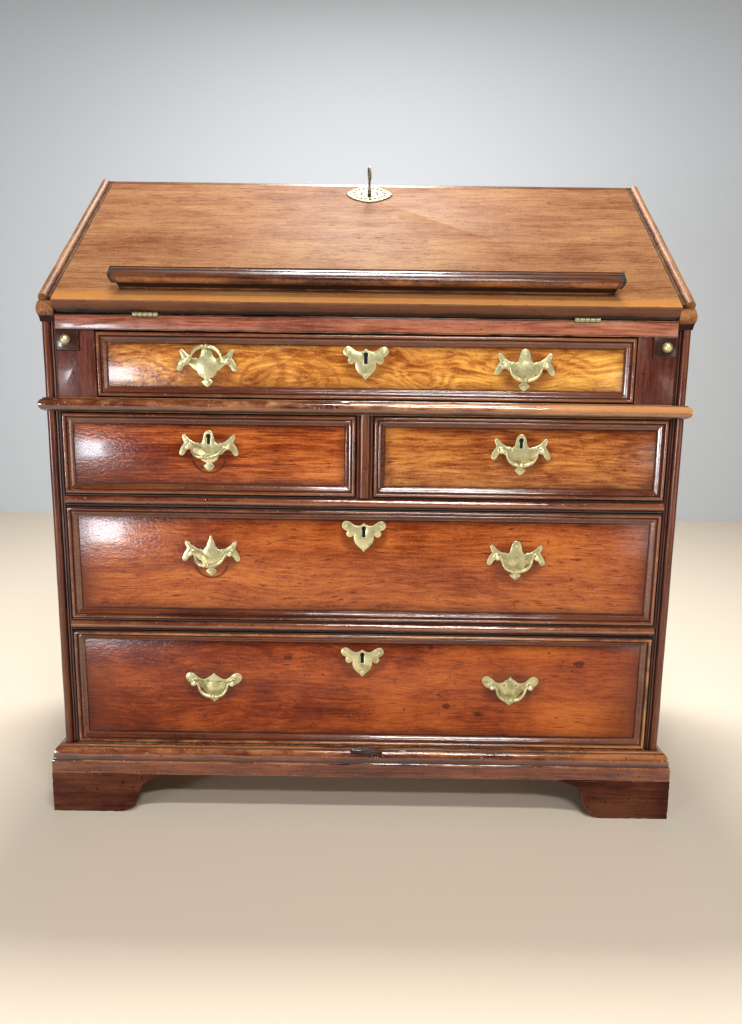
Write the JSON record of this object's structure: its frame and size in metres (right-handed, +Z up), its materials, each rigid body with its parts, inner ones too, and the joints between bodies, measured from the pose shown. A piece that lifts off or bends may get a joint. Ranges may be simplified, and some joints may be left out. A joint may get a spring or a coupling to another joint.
{
  "type": "slant-front desk",
  "caption": "Slant-front desk: fall lid on butt hinges with a book ledge, pull-out lopers, fitted interior, drawers with brass bail handles, bracket feet.",
  "frame": {"origin": "on the floor, under the middle of the desk's whole bounding box", "axes": "+X is the viewer's right, -Y is the front, +Z is up"},
  "size_m": [0.946, 0.5168, 1.0066],
  "materials": {
    "case_wood": "dark polished walnut, worn on its beads",
    "lid_wood": "polished warm brown walnut",
    "golden_veneer": "polished figured golden veneer",
    "drawer_wood": "polished red-brown veneer",
    "lining_wood": "unpolished oak",
    "brass": "old pale brass, softly polished",
    "steel": "dull old steel"
  },
  "bodies": {
    "case": {"side_panel_left": "case_wood", "side_panel_right": "case_wood", "top_board": "lid_wood", "back_boards": "lining_wood", "bottom_board": "case_wood", "writing_bed": "case_wood", "waist_rail": "case_wood", "divided_rail": "case_wood", "lower_rail": "case_wood", "base_moulding": "case_wood", "front_foot_left": "case_wood", "front_foot_right": "case_wood", "rear_foot_left": "case_wood", "rear_foot_right": "case_wood", "loper_block_left": "case_wood", "loper_block_right": "case_wood", "pigeonholes": "lining_wood", "hinge_left_fixed_leaf": "brass", "hinge_right_fixed_leaf": "brass"},
    "lid": {"lid_panel": "lid_wood", "book_ledge": "lid_wood", "lid_keyhole_plate": "brass", "lid_lock": "steel", "hinge_left_lid_leaf": "brass", "hinge_right_lid_leaf": "brass"},
    "key": {"lid_key": "steel"},
    "bolt": {"lock_bolt": "steel"},
    "loper_left": {"loper_left": "case_wood"},
    "loper_right": {"loper_right": "case_wood"},
    "small_drawer_left": {"small_drawer_left": "drawer_wood"},
    "small_drawer_right": {"small_drawer_right": "drawer_wood"},
    "top_drawer": {"top_drawer_front": "golden_veneer", "top_drawer_box": "lining_wood", "top_drawer_escutcheon": "brass", "top_drawer_handle_left": "brass", "top_drawer_handle_right": "brass"},
    "short_drawer_left": {"short_drawer_left_front": "drawer_wood", "short_drawer_left_box": "lining_wood", "short_drawer_left_handle": "brass"},
    "short_drawer_right": {"short_drawer_right_front": "drawer_wood", "short_drawer_right_box": "lining_wood", "short_drawer_right_handle": "brass"},
    "middle_drawer": {"middle_drawer_front": "drawer_wood", "middle_drawer_box": "lining_wood", "middle_drawer_escutcheon": "brass", "middle_drawer_handle_left": "brass", "middle_drawer_handle_right": "brass"},
    "lower_drawer": {"lower_drawer_front": "drawer_wood", "lower_drawer_box": "lining_wood", "lower_drawer_escutcheon": "brass", "lower_drawer_handle_left": "brass", "lower_drawer_handle_right": "brass"},
    "top_bail_left": {"top_drawer_bail_left": "brass"},
    "top_bail_right": {"top_drawer_bail_right": "brass"},
    "short_bail_left": {"short_drawer_left_bail": "brass"},
    "short_bail_right": {"short_drawer_right_bail": "brass"},
    "middle_bail_left": {"middle_drawer_bail_left": "brass"},
    "middle_bail_right": {"middle_drawer_bail_right": "brass"},
    "lower_bail_left": {"lower_drawer_bail_left": "brass"},
    "lower_bail_right": {"lower_drawer_bail_right": "brass"}
  },
  "joints": [
    {"name": "lid_hinge", "type": "hinge", "parent": "case", "child": "lid", "pos_m": [0, -0.2366, 0.748], "axis": [1, 0, 0], "range_deg": [0, 142]},
    {"name": "key_turn", "type": "hinge", "parent": "lid", "child": "key", "pos_m": [0, 0.02187, 0.94994], "axis": [0, -0.6157, 0.788], "range_deg": [0, 190]},
    {"name": "bolt_throw", "type": "slide", "parent": "lid", "child": "bolt", "axis": [0, 0.788, 0.6157], "range_m": [0, 0.008]},
    {"name": "loper_left_slide", "type": "slide", "parent": "case", "child": "loper_left", "axis": [0, -1, 0], "range_m": [0, 0.28]},
    {"name": "loper_right_slide", "type": "slide", "parent": "case", "child": "loper_right", "axis": [0, -1, 0], "range_m": [0, 0.28]},
    {"name": "small_drawer_left_slide", "type": "slide", "parent": "case", "child": "small_drawer_left", "axis": [0, -1, 0], "range_m": [0, 0.13]},
    {"name": "small_drawer_right_slide", "type": "slide", "parent": "case", "child": "small_drawer_right", "axis": [0, -1, 0], "range_m": [0, 0.13]},
    {"name": "top_drawer_slide", "type": "slide", "parent": "case", "child": "top_drawer", "axis": [0, -1, 0], "range_m": [0, 0.29]},
    {"name": "short_drawer_left_slide", "type": "slide", "parent": "case", "child": "short_drawer_left", "axis": [0, -1, 0], "range_m": [0, 0.33]},
    {"name": "short_drawer_right_slide", "type": "slide", "parent": "case", "child": "short_drawer_right", "axis": [0, -1, 0], "range_m": [0, 0.33]},
    {"name": "middle_drawer_slide", "type": "slide", "parent": "case", "child": "middle_drawer", "axis": [0, -1, 0], "range_m": [0, 0.33]},
    {"name": "lower_drawer_slide", "type": "slide", "parent": "case", "child": "lower_drawer", "axis": [0, -1, 0], "range_m": [0, 0.33]},
    {"name": "top_bail_left_swing", "type": "hinge", "parent": "top_drawer", "child": "top_bail_left", "pos_m": [-0.226, -0.2391, 0.6846], "axis": [-1, 0, 0], "range_deg": [-200, 0]},
    {"name": "top_bail_right_swing", "type": "hinge", "parent": "top_drawer", "child": "top_bail_right", "pos_m": [0.226, -0.2391, 0.6846], "axis": [-1, 0, 0], "range_deg": [-8, 192]},
    {"name": "short_bail_left_swing", "type": "hinge", "parent": "short_drawer_left", "child": "short_bail_left", "pos_m": [-0.226, -0.2391, 0.564], "axis": [-1, 0, 0], "range_deg": [-58, 142]},
    {"name": "short_bail_right_swing", "type": "hinge", "parent": "short_drawer_right", "child": "short_bail_right", "pos_m": [0.226, -0.2391, 0.564], "axis": [-1, 0, 0], "range_deg": [-8, 192]},
    {"name": "middle_bail_left_swing", "type": "hinge", "parent": "middle_drawer", "child": "middle_bail_left", "pos_m": [-0.226, -0.2391, 0.407], "axis": [-1, 0, 0], "range_deg": [-53, 147]},
    {"name": "middle_bail_right_swing", "type": "hinge", "parent": "middle_drawer", "child": "middle_bail_right", "pos_m": [0.226, -0.2391, 0.407], "axis": [-1, 0, 0], "range_deg": [-8, 192]},
    {"name": "lower_bail_left_swing", "type": "hinge", "parent": "lower_drawer", "child": "lower_bail_left", "pos_m": [-0.226, -0.2391, 0.2055], "axis": [-1, 0, 0], "range_deg": [-8, 192]},
    {"name": "lower_bail_right_swing", "type": "hinge", "parent": "lower_drawer", "child": "lower_bail_right", "pos_m": [0.226, -0.2391, 0.2055], "axis": [-1, 0, 0], "range_deg": [-8, 192]}
  ],
  "couplings": [
    {"joint": "key_turn", "follows": "bolt_throw", "rad_per_m": 392.7}
  ]
}
